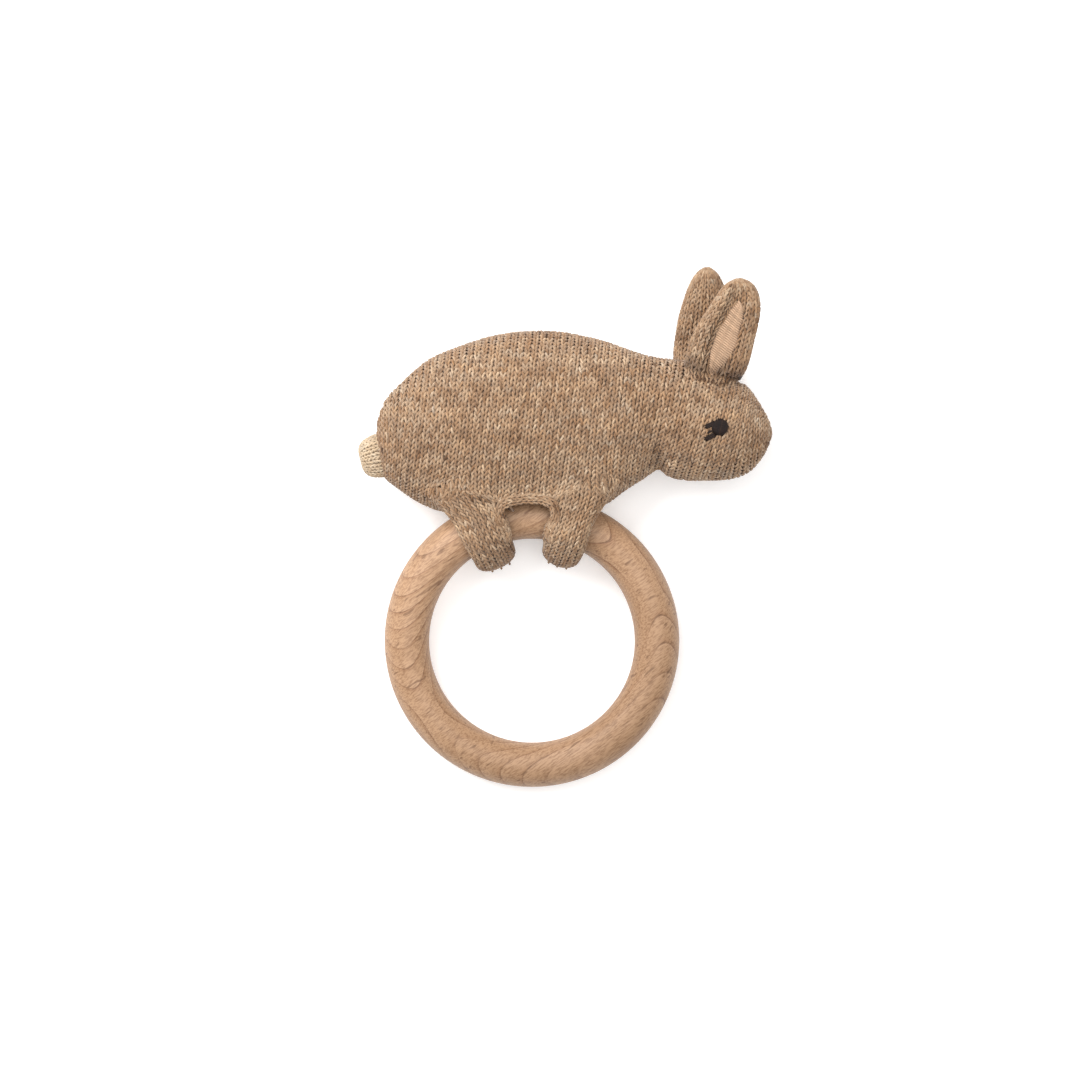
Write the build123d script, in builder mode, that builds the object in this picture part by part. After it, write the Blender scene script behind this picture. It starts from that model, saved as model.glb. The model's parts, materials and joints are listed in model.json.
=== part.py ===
from build123d import *
import os
from math import atan2, cos, degrees, hypot, radians, sin, sqrt

# Teething ring: a stuffed, knitted rabbit astride a turned beech ring. Millimetres.
#
# The toy is modelled in its own frame: the origin is the middle of the ring's bar where the
# rabbit sits, X points to the nose, Y to the ears, and Z is square to the ring, towards the near
# side. XY is the toy's mid-plane.
# Each piece is then laid down on its side, so that the far flank and the ring's far edge
# both rest on the surface at Z = 0.

# Ring
ring_outer_diameter = 70.0
ring_section_diameter = 10.6

# Knitted cover
knit_thickness = 0.9
seam_width = 0.6  # of the linked seam between the two side panels
stuffing_gap = 0.05  # between the panels and the stuffing
embroidery_height = 0.45
belly_half_thickness = 13.5

# Cross-sections of the trunk and head, tail end to nose: place along X, lowest and highest Y,
# and half thickness as a share of the belly's.
flank_sections = [
    (-36.6, 15.3, 23.9, 0.20),
    (-34.8, 10.5, 26.5, 0.44),
    (-31.0, 6.9, 31.0, 0.66),
    (-25.0, 3.7, 36.2, 0.83),
    (-17.0, 1.9, 39.9, 0.95),
    (-6.0, 1.7, 43.2, 1.00),
    (5.0, 1.9, 43.5, 1.00),
    (14.0, 2.5, 41.8, 0.96),
    (21.0, 5.3, 39.9, 0.88),
    (26.0, 8.5, 38.2, 0.80),
    (29.6, 10.0, 37.2, 0.76),
    (35.0, 8.8, 37.2, 0.81),
    (43.0, 8.4, 35.9, 0.85),
    (49.0, 9.2, 32.7, 0.76),
    (53.0, 11.6, 28.3, 0.59),
    (55.6, 14.9, 24.3, 0.36),
    (56.6, 17.3, 21.7, 0.15),
]
neck_x = 29.6  # where the head's stuffing meets the body's

# Legs: the place along X where each crosses the middle of the ring's bar, and its width
leg_thickness = 5.0
leg_root_length = 18.0  # straight stretch from over the ring up into the flank
ring_clearance = 0.3  # between the ring and the legs
channel_clearance = 0.4  # between the ring and the belly strip
legs = {"hind": (-11.4, 11.6), "front": (9.4, 10.4)}
foot_stitch_diameter = 0.5
foot_stitch_length = 2.0
foot_stitch_spacing = 2.2

# Ears: where the base meets the head, the direction the ear points and its length
ears = {"near": (43.7, 31.8, 76.0, 24.6), "far": (40.4, 32.3, 86.0, 25.6)}
ear_base_width = 10.8
ear_width = 13.4
ear_half_thickness = 1.5
ear_edge_radius = 1.2
ear_corner_radius = 0.8  # of the outline, at the ends of the base
ear_clearance = 0.5  # between the ear's round base and the head
inner_ear_length = 18.5
inner_ear_width = 5.4
inner_ear_start = 2.6  # above the hinge line
ear_stitch_count = 6
ear_stitch_size = (1.2, 0.8)
ear_stitch_height = 0.25

# Tail pouch
tail_centre = (-36.4, 14.3)
tail_angle = 195.0  # the way it points
tail_half_length = 5.2
tail_half_height = 5.0
tail_half_thickness = 3.6

# Eyes
eye_centre = (44.6, 20.9)
eye_half_width = 1.75
eye_half_height = 2.1
lash_width = 1.1
lashes = [((43.4, 21.9), (40.9, 20.8)), ((43.6, 19.7), (41.0, 18.2))]

# Rattle
rattle_centre = (-4.0, 23.8)
rattle_radius = 9.5
rattle_wall = 1.0
rattle_lip_height = 1.2
rattle_fit = 0.1  # round the capsule, and in its lapped rim
bead_diameter = 3.0
bead_ring_radius = 3.4
outer_bead_count = 4
bead_gap = 0.1  # between a bead at rest and the capsule's wall

ring_section_radius = ring_section_diameter / 2
ring_radius = (ring_outer_diameter - ring_section_diameter) / 2
leg_path_radius = ring_section_radius + ring_clearance + leg_thickness / 2
channel_radius = ring_section_radius + channel_clearance
strip_radius = channel_radius + knit_thickness
ring_centre = Vector(0, -ring_radius, 0)
reach = ring_outer_diameter * 2  # larger than the toy


def trunk(grow):
    """Lofts the trunk and head through their cross-sections, each grown outwards by grow."""
    end = len(flank_sections) - 1
    with BuildPart() as body:
        for i, (x, low, high, share) in enumerate(flank_sections):
            shift = -grow if i == 0 else grow if i == end else 0
            with BuildSketch(Plane.YZ.offset(x + shift)):
                with Locations(((low + high) / 2, 0)):
                    Ellipse((high - low) / 2 + grow, belly_half_thickness * share + grow)
        loft()
    return body.part


def mirrored(piece):
    """The same piece on the other side of the mid-plane."""
    return mirror(piece, about=Plane.XY)


outer_trunk = trunk(0)
inner_trunk = trunk(-knit_thickness)
stuffed_trunk = trunk(-knit_thickness - stuffing_gap)

pieces = {}


def keep(name, part):
    """Labels a finished piece and puts it with the others."""
    part.label = name
    pieces[name] = part


# Ring
with BuildPart() as wooden_ring:
    with Locations(ring_centre):
        Torus(ring_radius, ring_section_radius)
keep("wooden_ring", wooden_ring.part)

# Side panels, seam, belly
with BuildPart() as trunk_cover:
    add(outer_trunk)
    add(inner_trunk, mode=Mode.SUBTRACT)
    with Locations(ring_centre):
        Torus(ring_radius, strip_radius, mode=Mode.SUBTRACT)
with BuildPart() as near_side_panel:
    add(trunk_cover.part)
    split(bisect_by=Plane.XY.offset(seam_width / 2), keep=Keep.TOP)
keep("near_side_panel", near_side_panel.part)
with BuildPart() as far_side_panel:
    add(trunk_cover.part)
    split(bisect_by=Plane.XY.offset(-seam_width / 2), keep=Keep.BOTTOM)
keep("far_side_panel", far_side_panel.part)

with BuildPart() as outline_seam:
    add(trunk_cover.part)
    Box(reach * 2, reach * 2, seam_width, mode=Mode.INTERSECT)
keep("outline_seam", outline_seam.part)

with BuildPart() as belly_strip:
    with Locations(ring_centre):
        Torus(ring_radius, strip_radius)
        Torus(ring_radius, channel_radius, mode=Mode.SUBTRACT)
    add(outer_trunk, mode=Mode.INTERSECT)
keep("belly_strip", belly_strip.part)


# Legs
def leg_plane(x):
    """Plane square to the ring's bar at x: local X is away from the ring's centre."""
    out = Vector(x, sqrt(ring_radius**2 - x**2), 0) / ring_radius
    return Plane(
        origin=ring_centre + out * ring_radius, x_dir=out, z_dir=out.cross(Vector(0, 0, 1))
    )


def leg_solid(x, width, thickness, foot_angle):
    """An oval limb from inside the flank, straight over the ring and round to its inner side."""
    plane = leg_plane(x)
    over = Plane(
        origin=plane.origin + Vector(0, 0, leg_path_radius), x_dir=plane.z_dir, z_dir=plane.x_dir
    )
    with BuildPart() as limb:
        with BuildSketch(over):
            Ellipse(width / 2, thickness / 2)
        extrude(amount=leg_root_length)
        with BuildSketch(over):
            Ellipse(width / 2, thickness / 2)
        revolve(axis=Axis(plane.origin, plane.z_dir), revolution_arc=foot_angle)
    return limb.part


foot_wall_angle = degrees(knit_thickness / leg_path_radius)
for name, (x, width) in legs.items():
    with BuildPart() as leg:
        add(leg_solid(x, width, leg_thickness, 90))
        add(outer_trunk, mode=Mode.SUBTRACT)
    inner_width = width - 2 * knit_thickness
    inner_thickness = leg_thickness - 2 * knit_thickness
    with BuildPart() as stuffing:
        add(leg_solid(x, inner_width, inner_thickness, 90 - foot_wall_angle))
        add(outer_trunk, mode=Mode.SUBTRACT)
    with BuildPart() as cover:
        add(leg.part)
        add(stuffing.part, mode=Mode.SUBTRACT)
    keep(f"near_{name}_leg", cover.part)
    keep(f"far_{name}_leg", mirrored(cover.part))
    keep(f"near_{name}_leg_stuffing", stuffing.part)
    keep(f"far_{name}_leg_stuffing", mirrored(stuffing.part))

    # Stitches that tie the near and far feet together on the ring's inner side
    plane = leg_plane(x)
    toe = leg_path_radius + foot_stitch_diameter / 2
    with BuildPart() as foot_stitches:
        for step in (-1, 0, 1):
            across = step * foot_stitch_spacing
            bulge = leg_thickness / 2 * sqrt(1 - (across / (width / 2)) ** 2)
            place = plane.origin - plane.x_dir * (toe + bulge) + plane.z_dir * across
            with Locations(place):
                Cylinder(foot_stitch_diameter / 2, foot_stitch_length)
    keep(f"{name}_foot_stitches", foot_stitches.part)

# Rattle
rattle_plane = Plane(origin=(*rattle_centre, 0))
lip_radius = rattle_radius - rattle_wall / 2

with BuildPart(rattle_plane) as rattle_hull:
    Sphere(rattle_radius)
    Sphere(rattle_radius - rattle_wall, mode=Mode.SUBTRACT)
with BuildPart(rattle_plane) as lap:
    with BuildSketch(rattle_plane):
        Circle(rattle_radius + 1)
        Circle(lip_radius, mode=Mode.SUBTRACT)
    extrude(amount=rattle_lip_height)
with BuildPart(rattle_plane) as lap_gap:
    with BuildSketch(rattle_plane):
        Circle(lip_radius + rattle_fit / 2)
        Circle(lip_radius - rattle_fit / 2, mode=Mode.SUBTRACT)
    extrude(amount=rattle_lip_height)
with BuildPart() as rattle_case_lower:
    add(rattle_hull.part)
    split(bisect_by=rattle_plane, keep=Keep.BOTTOM)
    with BuildPart(mode=Mode.PRIVATE) as rim:
        add(rattle_hull.part)
        add(lap.part, mode=Mode.INTERSECT)
    add(rim.part)
    add(lap_gap.part, mode=Mode.SUBTRACT)
with BuildPart() as rattle_case_upper:
    add(rattle_hull.part)
    add(lap.part, mode=Mode.SUBTRACT)
    add(lap_gap.part, mode=Mode.SUBTRACT)
    split(bisect_by=rattle_plane, keep=Keep.TOP)
keep("rattle_case_lower", rattle_case_lower.part)
keep("rattle_case_upper", rattle_case_upper.part)

bead_reach = rattle_radius - rattle_wall - bead_diameter / 2 - bead_gap
bead_lanes = [(0.0, 0.0)] + [
    (
        bead_ring_radius * cos(radians(360 * i / outer_bead_count)),
        bead_ring_radius * sin(radians(360 * i / outer_bead_count)),
    )
    for i in range(outer_bead_count)
]
bead_travel = {}
for i, (x, y) in enumerate(bead_lanes, 1):
    depth = sqrt(bead_reach**2 - hypot(x, y) ** 2)
    bead_travel[f"rattle_bead_{i}"] = 2 * depth
    with BuildPart() as bead:
        with Locations((rattle_centre[0] + x, rattle_centre[1] + y, -depth)):
            Sphere(bead_diameter / 2)
    keep(f"rattle_bead_{i}", bead.part)

# Stuffing
with BuildPart() as stuffing_mass:
    add(stuffed_trunk)
    with Locations(ring_centre):
        Torus(ring_radius, strip_radius + stuffing_gap, mode=Mode.SUBTRACT)
with BuildPart() as body_stuffing:
    add(stuffing_mass.part)
    with Locations((*rattle_centre, 0)):
        Sphere(rattle_radius + rattle_fit, mode=Mode.SUBTRACT)
    split(bisect_by=Plane.YZ.offset(neck_x), keep=Keep.BOTTOM)
keep("body_stuffing", body_stuffing.part)
with BuildPart() as head_stuffing:
    add(stuffing_mass.part)
    split(bisect_by=Plane.YZ.offset(neck_x), keep=Keep.TOP)
keep("head_stuffing", head_stuffing.part)

# Tail
tail_plane = Plane(origin=(*tail_centre, 0), x_dir=Vector(1, 0, 0).rotate(Axis.Z, tail_angle))


def tail_solid(grow):
    """An oval pouch round the tail's middle."""
    with BuildPart() as pouch:
        Sphere(1)
        scale(
            by=(
                tail_half_length + grow,
                tail_half_height + grow,
                tail_half_thickness + grow,
            )
        )
    return tail_plane.location * pouch.part


with BuildPart() as tail_cover:
    add(tail_solid(0))
    add(tail_solid(-knit_thickness), mode=Mode.SUBTRACT)
    add(outer_trunk, mode=Mode.SUBTRACT)
keep("tail_cover", tail_cover.part)
with BuildPart() as tail_stuffing:
    add(tail_solid(-knit_thickness))
    add(outer_trunk, mode=Mode.SUBTRACT)
keep("tail_stuffing", tail_stuffing.part)

# Eyes
with BuildPart() as near_eye:
    with BuildSketch():
        with Locations(eye_centre):
            Ellipse(eye_half_width, eye_half_height)
        for inner_end, outer_end in lashes:
            lash = Vector(*inner_end) - Vector(*outer_end)
            with Locations(Vector(*outer_end) + lash / 2):
                SlotCenterToCenter(
                    lash.length, lash_width, rotation=degrees(atan2(lash.Y, lash.X))
                )
    extrude(amount=belly_half_thickness * 2)
    add(trunk(embroidery_height), mode=Mode.INTERSECT)
    add(outer_trunk, mode=Mode.SUBTRACT)
keep("near_eye", near_eye.part)
keep("far_eye", mirrored(near_eye.part))


# Ears
def surface(x, y):
    """Point of the near flank's surface at x and y, and the direction square to it there."""
    crossings = outer_trunk.find_intersection_points(Axis((x, y, 0), (0, 0, 1)))
    return max(crossings, key=lambda crossing: crossing[0].Z)


def ear_seat(side):
    """Plane on the head's surface at the ear's base: X runs along the base and Z is square
    to the head."""
    x, y, lean, _ = ears[side]
    point, square = surface(x, y)
    along = Vector(sin(radians(lean)), -cos(radians(lean)), 0) * (ear_base_width * 0.4)
    fore, _ = surface(x + along.X, y + along.Y)
    aft, _ = surface(x - along.X, y - along.Y)
    return Plane(origin=point, x_dir=fore - aft, z_dir=square)


def ear_plane(side):
    """Plane of the ear's blade: the origin is on its hinge line, X runs along that line and Y
    up the ear. Z is away from the head's middle."""
    seat = ear_seat(side)
    lift = ear_half_thickness + ear_clearance
    lean = radians(ears[side][2])
    up = Vector(cos(lean), sin(lean), 0)
    return Plane(
        origin=seat.origin + seat.z_dir * lift, x_dir=seat.x_dir, z_dir=seat.x_dir.cross(up)
    )


def ear_blade(length):
    """A flat ear with rounded edges, lying about the XY plane with its base across X."""
    half_base = ear_base_width / 2
    half_width = ear_width / 2
    foot = -ear_half_thickness
    with BuildPart() as blade:
        with BuildSketch() as outline:
            with BuildLine():
                edge = Spline(
                    (half_base, foot),
                    (half_width, length * 0.42),
                    (half_width * 0.86, length * 0.76),
                    (0, length),
                    tangents=[(0.2, 1), (-1, 0)],
                )
                mirror(edge, about=Plane.YZ)
                Line((half_base, foot), (-half_base, foot))
            make_face()
            fillet(outline.vertices().group_by(Axis.Y)[0], radius=ear_corner_radius)
        extrude(amount=ear_half_thickness, both=True)
        rims = blade.faces().sort_by(Axis.Z)[-1].edges() + blade.faces().sort_by(Axis.Z)[0].edges()
        fillet(rims, radius=ear_edge_radius)
    return blade.part


for side, (_, _, _, length) in ears.items():
    blade = ear_plane(side).location * ear_blade(length)
    with BuildPart() as front:
        add(blade)
        split(bisect_by=ear_plane(side), keep=Keep.TOP)
    with BuildPart() as back:
        add(blade)
        split(bisect_by=ear_plane(side), keep=Keep.BOTTOM)

    # A pointed oval of satin stitch on the blade's outer face
    with BuildPart() as embroidery:
        with BuildSketch(ear_plane(side).offset(ear_half_thickness)):
            with BuildLine():
                tip = (0, inner_ear_start + inner_ear_length)
                bulge = ThreePointArc(
                    (0, inner_ear_start),
                    (inner_ear_width / 2, inner_ear_start + inner_ear_length / 2),
                    tip,
                )
                mirror(bulge, about=Plane.YZ)
            make_face()
        extrude(amount=embroidery_height)

    # Thread along the base, lying on the head
    with BuildPart() as stitches:
        with Locations(ear_seat(side)):
            with GridLocations(ear_base_width / ear_stitch_count, 0, ear_stitch_count, 1):
                Box(*ear_stitch_size, ear_width)
        add(trunk(ear_stitch_height), mode=Mode.INTERSECT)
        add(outer_trunk, mode=Mode.SUBTRACT)

    ear_pieces = {
        "front": front.part,
        "back": back.part,
        "stitches": stitches.part,
    }
    for name, part in ear_pieces.items():
        keep(f"{side}_ear_{name}", part if side == "near" else mirrored(part))
    patch = embroidery.part
    keep(f"{side}_inner_ear", patch if side == "near" else mirrored(patch))

# Laying it down
# Turned about X until the far flank's lowest point and the ring's edge are level
lying_tilt = 0.0
for _ in range(4):
    lay = Location((0, 0, 0), (lying_tilt, 0, 0))
    flank_low, ring_low = (
        (lay * solid).bounding_box(optimal=True).min.Z
        for solid in (outer_trunk, pieces["wooden_ring"])
    )
    lying_tilt += degrees((ring_low - flank_low) / (rattle_centre[1] + 2 * ring_radius))
lay = Location((0, 0, 0), (lying_tilt, 0, 0))
boxes = [(lay * part).bounding_box(optimal=True) for part in pieces.values()]
lowest = [min(getattr(box.min, axis) for box in boxes) for axis in "XYZ"]
highest = [max(getattr(box.max, axis) for box in boxes) for axis in "XYZ"]
middle = [(low + high) / 2 for low, high in zip(lowest, highest)]
resting_place = Location((-middle[0], -middle[1], -lowest[2])) * lay

os.makedirs("parts", exist_ok=True)
for name, part in pieces.items():
    placed = part.moved(resting_place)
    placed.label = name
    export_step(placed, f"parts/{name}.step")
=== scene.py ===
import json
import math

import bpy
import numpy as np
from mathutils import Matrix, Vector


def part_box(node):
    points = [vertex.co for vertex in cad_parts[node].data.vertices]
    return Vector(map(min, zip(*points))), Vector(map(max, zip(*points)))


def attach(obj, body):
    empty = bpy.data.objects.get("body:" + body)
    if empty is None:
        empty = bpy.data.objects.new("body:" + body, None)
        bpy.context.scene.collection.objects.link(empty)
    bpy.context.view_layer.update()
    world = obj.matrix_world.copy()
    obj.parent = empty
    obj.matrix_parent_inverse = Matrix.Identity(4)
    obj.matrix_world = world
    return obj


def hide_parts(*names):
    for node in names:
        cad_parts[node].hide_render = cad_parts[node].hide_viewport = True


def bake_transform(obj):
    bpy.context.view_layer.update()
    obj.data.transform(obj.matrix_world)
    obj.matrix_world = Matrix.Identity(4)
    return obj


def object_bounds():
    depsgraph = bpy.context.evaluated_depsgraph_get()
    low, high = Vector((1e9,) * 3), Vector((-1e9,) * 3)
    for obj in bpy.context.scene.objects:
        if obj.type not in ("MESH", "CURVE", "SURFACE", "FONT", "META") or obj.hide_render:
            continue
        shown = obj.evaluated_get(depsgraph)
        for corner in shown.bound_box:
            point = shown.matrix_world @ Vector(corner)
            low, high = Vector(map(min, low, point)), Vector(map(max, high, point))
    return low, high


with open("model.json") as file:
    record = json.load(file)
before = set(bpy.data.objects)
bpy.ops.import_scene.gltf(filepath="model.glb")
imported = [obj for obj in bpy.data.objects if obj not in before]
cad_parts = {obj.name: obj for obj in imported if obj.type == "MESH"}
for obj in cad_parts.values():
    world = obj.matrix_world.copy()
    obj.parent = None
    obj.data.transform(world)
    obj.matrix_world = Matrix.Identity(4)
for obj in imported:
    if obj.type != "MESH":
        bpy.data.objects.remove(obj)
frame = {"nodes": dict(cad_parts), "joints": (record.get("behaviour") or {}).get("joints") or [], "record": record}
cadLow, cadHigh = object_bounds()
print("frame loaded:", len(frame["nodes"]), "nodes")

# The toy's own axes: x to the nose, y to the ears, z square to the ring on the near side.
# All shapes are worked out in millimetres from the middle of the ring's bar under the rabbit.
ringJoint = next(j for j in frame["joints"] if j["name"] == "ring_turn")
zAxis = np.array(ringJoint["axis"])
xAxis = np.array([1.0, 0.0, 0.0])
yAxis = np.cross(zAxis, xAxis)
ringLow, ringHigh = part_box("wooden_ring")
ringOuter = (ringHigh.x - ringLow.x) * 500
ringLean = abs(zAxis[1])
barRadius = ((ringHigh.z - ringLow.z) * 500 - ringOuter * ringLean) / (1 - ringLean)
ringRadius = ringOuter - barRadius
toyAxes = np.array([xAxis, yAxis, zAxis])
seat = np.array(ringJoint["pos_m"]) * 1000 + yAxis * ringRadius
ringMiddle = np.array([0.0, -ringRadius, 0.0])


def toWorld(points):
    # metres in the frame = (seat + point in the toy's axes) / 1000
    return (seat + np.asarray(points) @ toyAxes) / 1000


def toToy(points):
    return (np.asarray(points) * 1000 - seat) @ toyAxes.T


def unit(v):
    return v / np.maximum(np.linalg.norm(v, axis=-1, keepdims=True), 1e-9)


def smoothStep(v):
    v = np.clip(v, 0, 1)
    return v * v * (3 - 2 * v)


def bell(v):
    # 1 at 0, a third at 1, nearly nothing at 2
    return np.exp(-(v**2))


def softened(values, width):
    # running mean along the first axis, with a bell-shaped window that keeps the two ends
    reach = min(int(3 * width), len(values) - 1)
    if reach < 1:
        return values
    window = np.exp(-0.5 * (np.arange(-reach, reach + 1) / width) ** 2)
    window /= window.sum()
    before = 2 * values[:1] - values[reach:0:-1]
    after = 2 * values[-1:] - values[-2 : -reach - 2 : -1]
    padded = np.concatenate([before, values, after])
    out = np.zeros_like(values)
    for i, share in enumerate(window):
        out += share * padded[i : i + len(values)]
    return out


def runLength(points):
    return np.r_[0, np.cumsum(np.linalg.norm(np.diff(points, axis=0), axis=1))]


def readCurve(at, run, points):
    # each coordinate of the points, joined by straight runs, at the lengths asked for
    return np.stack([np.interp(at, run, column) for column in points.T], -1)


def evenCurve(points, step, width):
    # points joined by straight runs, read every step along them, then softened over width
    points = np.asarray(points, float)
    run = runLength(points)
    at = np.linspace(0, run[-1], int(run[-1] / step) + 1)
    return softened(readCurve(at, run, points), width / step)


# trunk and legs: where the cloth lies

trunk = {
    # along x: lowest y, highest y and half thickness
    "sections": [
        (-36.9, 16.6, 17.2, 0.3), (-36.3, 11.6, 23.6, 3.4), (-34.7, 8.6, 27.5, 6.2),
        (-32.0, 6.9, 30.7, 8.4), (-29.0, 4.6, 33.8, 9.8), (-25.0, 2.5, 37.0, 11.2),
        (-21.0, 1.0, 38.9, 12.2), (-16.0, 0.9, 40.8, 12.9), (-10.0, 1.2, 42.8, 13.4),
        (-4.0, 1.5, 43.9, 13.5), (2.0, 1.7, 44.0, 13.5), (8.0, 1.8, 43.6, 13.4),
        (13.0, 2.0, 42.5, 13.0), (18.0, 3.3, 41.2, 12.3), (22.0, 6.1, 39.9, 11.7),
        (26.0, 8.5, 38.3, 10.9), (29.4, 10.2, 37.4, 10.3), (32.0, 9.5, 37.2, 10.6),
        (36.0, 8.8, 37.1, 11.1), (40.0, 8.5, 36.9, 11.4), (44.0, 8.4, 35.7, 11.4),
        (48.0, 8.9, 33.5, 10.6), (51.0, 10.2, 31.0, 9.2), (53.6, 12.2, 27.6, 7.3),
        (55.4, 14.6, 24.9, 5.0), (56.5, 17.4, 22.0, 2.4), (56.8, 19.6, 19.8, 0.3),
    ],
    "clothDepth": 0.45,  # from the outside of the yarn to the middle of the cloth
    "softness": 1.3,
    "blend": 1.5,  # size of the soft fillet where a leg leaves the flank
}
legs = {
    # place on the ring's bar along x, width, thickness
    "hind": {"x": -12.0, "width": 9.3, "thick": 5.0},
    "front": {"x": 9.4, "width": 8.7, "thick": 5.0},
}
archRim = {"middle": (-1.1, -2.0), "half": (7.8, 7.3), "z": 5.5, "radius": 2.1}
legGap = 0.3  # between the ring and a leg
hipHeight = 11.0  # y where a leg's stitches leave the flank's

sectionTable = evenCurve(trunk["sections"], 0.1, trunk["softness"])
sectionTable[:, 1] += trunk["clothDepth"]
sectionTable[:, 2] -= trunk["clothDepth"]
sectionTable[:, 3] -= trunk["clothDepth"]
sectionTable[:, 0] *= 1 - trunk["clothDepth"] / 47
sectionTable[:, 3] = np.maximum(sectionTable[:, 3], 0.05)


def sectionAt(x):
    # middle y, half height and half thickness of the trunk at x
    low, high, thick = (np.interp(x, sectionTable[:, 0], sectionTable[:, i]) for i in (1, 2, 3))
    return (low + high) / 2, np.maximum((high - low) / 2, 0.05), thick


def ovalRing(x, middle, half, thick, phi):
    # points of an upright ellipse at x, phi rising from the near side to the back
    return np.stack([x + 0 * phi, middle + half * np.sin(phi), thick * np.cos(phi)], -1)


def flankHeight(x, y, most=1.0):
    # height of the trunk's ellipse over a plan point, held inside its edge
    middle, half, thick = sectionAt(x)
    level = np.clip((y - middle) / half, -most, most)
    return thick * np.sqrt(1 - level**2)


for leg in legs.values():
    outward = np.array([leg["x"], math.sqrt(ringRadius**2 - leg["x"] ** 2), 0]) / ringRadius
    leg["out"] = outward
    leg["along"] = np.array([outward[1], -outward[0], 0])  # tangent to the bar
    leg["path"] = barRadius + legGap + leg["thick"] / 2
    leg["halfWidth"] = leg["width"] / 2 - 0.35
    leg["halfThick"] = leg["thick"] / 2 - 0.35


def trunkField(p):
    # (distance from the section's middle as a share of the ellipse - 1) x its smaller half size
    middle, half, thick = sectionAt(p[..., 0])
    share = np.sqrt(((p[..., 1] - middle) / half) ** 2 + (p[..., 2] / thick) ** 2)
    return (share - 1) * np.minimum(half, thick)


def hipGrowth(d):
    # a leg widens by a seventh from the bar's middle to the hip
    return 1 + 0.15 * smoothStep((d + 1) / 9)


def legField(p, leg):
    # the same for a leg: straight over the bar, then round the bar to its inner side
    away = p - ringMiddle
    d = away @ leg["out"] - ringRadius
    q = away @ leg["along"]
    z = np.abs(p[..., 2])
    e = np.where(d > 0, z, np.sqrt(d**2 + z**2)) - leg["path"]
    share = np.sqrt((q / (leg["halfWidth"] * hipGrowth(d))) ** 2 + (e / leg["halfThick"]) ** 2)
    return (share - 1) * leg["halfThick"] + np.maximum(d - 13, 0)


def rimField(p):
    # an arched roll from leg to leg: distance from half an ellipse, less the roll's radius
    wide, tall = archRim["half"]
    rise = np.maximum(p[..., 1] - archRim["middle"][1], 0)
    share = np.sqrt(((p[..., 0] - archRim["middle"][0]) / wide) ** 2 + (rise / tall) ** 2)
    drop = np.maximum(archRim["middle"][1] - 2 - p[..., 1], 0)
    away = np.sqrt(((share - 1) * wide) ** 2 + (np.abs(p[..., 2]) - archRim["z"]) ** 2)
    return away - archRim["radius"] + drop


def clothField(p):
    # soft minimum of the trunk's, legs' and rim's fields: it rounds the corners between them
    k = trunk["blend"]
    parts = [trunkField(p), rimField(p)] + [legField(p, leg) for leg in legs.values()]
    return -k * np.log(sum(np.exp(-np.clip(f, -30, 30) / k) for f in parts))


def slope(p, field):
    h = 0.02
    at = field(p)
    steps = [(field(p + np.eye(3)[i] * h) - at) / h for i in range(3)]
    return at, np.stack(steps, -1)


def onCloth(p, rounds=4):
    # Newton steps down the field's slope, none longer than 1.5
    for _ in range(rounds):
        f, g = slope(p, clothField)
        step = f[..., None] * g / np.maximum((g**2).sum(-1, keepdims=True), 0.05)
        size = np.linalg.norm(step, axis=-1, keepdims=True)
        p = p - step * np.minimum(1, 1.5 / np.maximum(size, 1e-9))
    return p


def rumple(p, seed):
    # a sum of a few slow waves over the flank, up to about 0.2
    rng = np.random.default_rng(seed)
    total = np.zeros(p.shape[:-1])
    for _ in range(9):
        way = rng.normal(size=3) * [0.16, 0.2, 0.12]
        total += np.sin(p @ way * 2 + rng.uniform(0, 6.3)) * 0.055
    return total


creases = {
    # x, half width and depth of the neck's crease, of the hollow round it and of the ears' line
    "neck": (29.9, 1.1, 1.25), "hollow": (29.5, 3.4, 0.8), "ears": (42.5, 0.9, 0.7),
    "neckRise": 11, "neckLean": 0.6, "earReach": 7.2, "throat": 29.6,
    # y of the ears' line at an x, its fall, how far its middle hangs and over what half length
    "earLine": (33.9, 36.5, 0.16, 1.6, 6.8),
}


def dents(p):
    # bell-shaped grooves: up from the throat, and along the curve where the ears are sewn on
    x, y = p[..., 0], p[..., 1]
    (neckX, neckHalf, neckDeep), (hollowX, hollowHalf, hollowDeep), (earX, earHalf, earDeep) = (
        creases[k] for k in ("neck", "hollow", "ears"))
    throat, throatHalf, _ = sectionAt(creases["throat"])
    rise = (y - (throat - throatHalf)) / creases["neckRise"]
    crease = neckDeep * bell((x - neckX + creases["neckLean"] * rise) / neckHalf)
    crease = crease * smoothStep(1.05 - rise)
    lineY, lineX, fall, hang, reach = creases["earLine"]
    earLine = lineY - fall * (x - lineX) - hang * (1 - ((x - earX) / reach) ** 2)
    pull = earDeep * bell((y - earLine) / earHalf) * (np.abs(x - earX) < creases["earReach"])
    hollow = hollowDeep * bell((x - hollowX) / hollowHalf) * smoothStep(1.5 - rise)
    return -(crease + pull + hollow)


# stitches

knit = {
    "wale": 1.66, "course": 1.23, "legWale": 1.45,  # width and height of a stitch
    "swing": 0.26, "reach": 0.98, "relief": 0.40,  # of the yarn in a stitch, see stockinette
    "wide": 0.335, "deep": 0.26,  # half sizes of the yarn
    "points": 10, "fine": 4,  # points along a stitch's yarn, steps of the grid to a stitch
}
melangeTones = np.array([
    (0.00, 62, 40, 26), (0.20, 104, 76, 54), (0.36, 139, 108, 82), (0.52, 161, 130, 103),
    (0.68, 179, 151, 124), (0.84, 199, 173, 146), (1.00, 216, 193, 167),
])
creamTones = np.array([
    (0.00, 144, 119, 92), (0.30, 178, 155, 129), (0.60, 200, 179, 153), (1.00, 226, 210, 190),
])


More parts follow.
